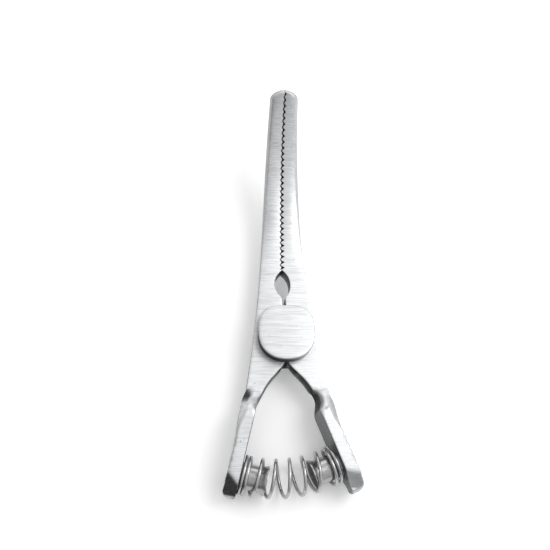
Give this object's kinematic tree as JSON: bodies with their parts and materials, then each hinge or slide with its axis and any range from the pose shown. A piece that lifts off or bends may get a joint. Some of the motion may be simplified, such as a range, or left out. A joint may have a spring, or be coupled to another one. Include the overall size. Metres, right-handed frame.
{
  "type": "curved spring bulldog clamp",
  "caption": "Small sprung surgical clamp: non-crossing steel arms on a box joint, toothed jaws curved upwards, opened by squeezing finger plates against a bowed coil spring.",
  "frame": {"origin": "centre of the lower cheek's outer flat face, on the pivot axis", "axes": "+Y along the arms towards the jaws, +Z along the pivot towards the upper cheek and the side to which the jaws curve, +X towards the arm that carries the cheeks"},
  "size_m": [0.0213, 0.0655, 0.0171],
  "materials": {
    "arm_steel": "satin, brushed across the arms",
    "pin_steel": "satin, ground flush with the cheeks",
    "spring_wire": "bright drawn wire",
    "cup_steel": "polished"
  },
  "bodies": {
    "right_side": {"right_arm": "arm_steel", "pivot_pin": "pin_steel", "right_spring_cup": "cup_steel", "spring": "spring_wire"},
    "left_side": {"left_arm": "arm_steel", "left_spring_cup": "cup_steel"}
  },
  "joints": [
    {"name": "jaw_pivot", "type": "hinge", "parent": "right_side", "child": "left_side", "pos_m": [0, 0, 0.00315], "axis": [0, 0, 1], "range_deg": [0, 14], "stiffness_Nm_per_rad": 0.1, "springref_deg": -17.19, "deforming": ["spring"]}
  ]
}
